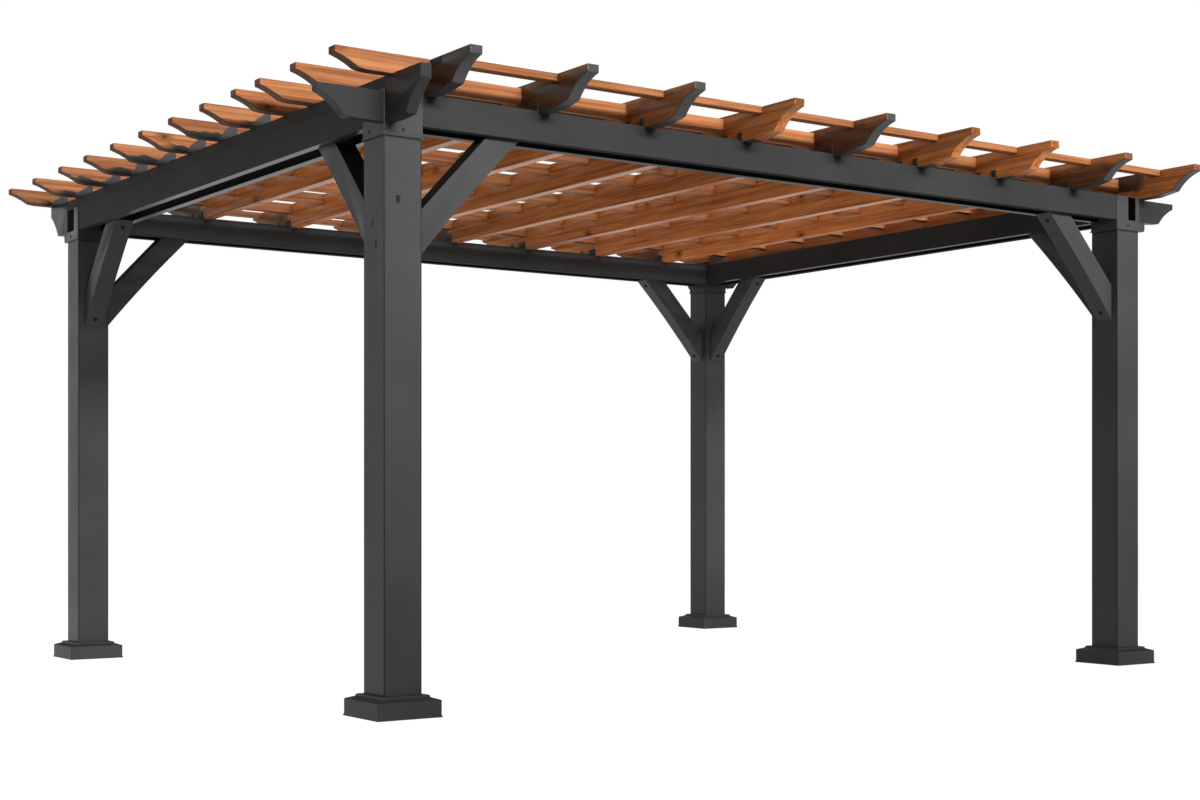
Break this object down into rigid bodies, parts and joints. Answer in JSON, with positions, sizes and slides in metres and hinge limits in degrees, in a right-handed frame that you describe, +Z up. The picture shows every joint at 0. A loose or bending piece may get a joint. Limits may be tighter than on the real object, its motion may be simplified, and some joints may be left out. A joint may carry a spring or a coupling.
{
  "type": "garden pergola",
  "caption": "Free-standing garden pergola: charcoal steel posts, beams and knee braces under an open lattice of wooden rafters and let-in purlins with shaped tails.",
  "frame": {"origin": "on the ground, in the middle of the plan", "axes": "+X along the front, +Y from front to back, +Z up"},
  "size_m": [4.584, 3.935, 2.338],
  "materials": {
    "charcoal_frame": "satin powder coat",
    "rafter_wood": "oiled",
    "purlin_wood": "oiled"
  },
  "bodies": {
    "root": {"front_left_post": "charcoal_frame", "front_left_base_trim": "charcoal_frame", "front_left_corner_cap": "charcoal_frame", "front_left_beam_tails": "charcoal_frame", "front_left_knee_braces": "charcoal_frame", "front_right_post": "charcoal_frame", "front_right_base_trim": "charcoal_frame", "front_right_corner_cap": "charcoal_frame", "front_right_beam_tails": "charcoal_frame", "front_right_knee_braces": "charcoal_frame", "back_left_post": "charcoal_frame", "back_left_base_trim": "charcoal_frame", "back_left_corner_cap": "charcoal_frame", "back_left_beam_tails": "charcoal_frame", "back_left_knee_braces": "charcoal_frame", "back_right_post": "charcoal_frame", "back_right_base_trim": "charcoal_frame", "back_right_corner_cap": "charcoal_frame", "back_right_beam_tails": "charcoal_frame", "back_right_knee_braces": "charcoal_frame", "front_beam": "charcoal_frame", "back_beam": "charcoal_frame", "left_beam": "charcoal_frame", "right_beam": "charcoal_frame", "left_rail": "charcoal_frame", "rafter_1": "rafter_wood", "rafter_2": "rafter_wood", "rafter_3": "rafter_wood", "rafter_4": "rafter_wood", "rafter_5": "rafter_wood", "rafter_6": "rafter_wood", "rafter_7": "rafter_wood", "rafter_8": "rafter_wood", "rafter_9": "rafter_wood", "purlin_1": "purlin_wood", "purlin_2": "purlin_wood", "purlin_3": "purlin_wood", "purlin_4": "purlin_wood", "purlin_5": "purlin_wood", "purlin_6": "purlin_wood", "purlin_7": "purlin_wood", "purlin_8": "purlin_wood", "purlin_9": "purlin_wood", "purlin_10": "purlin_wood", "purlin_11": "purlin_wood", "purlin_12": "purlin_wood", "front_slat": "purlin_wood", "front_blocking": "purlin_wood"}
  },
  "joints": []
}
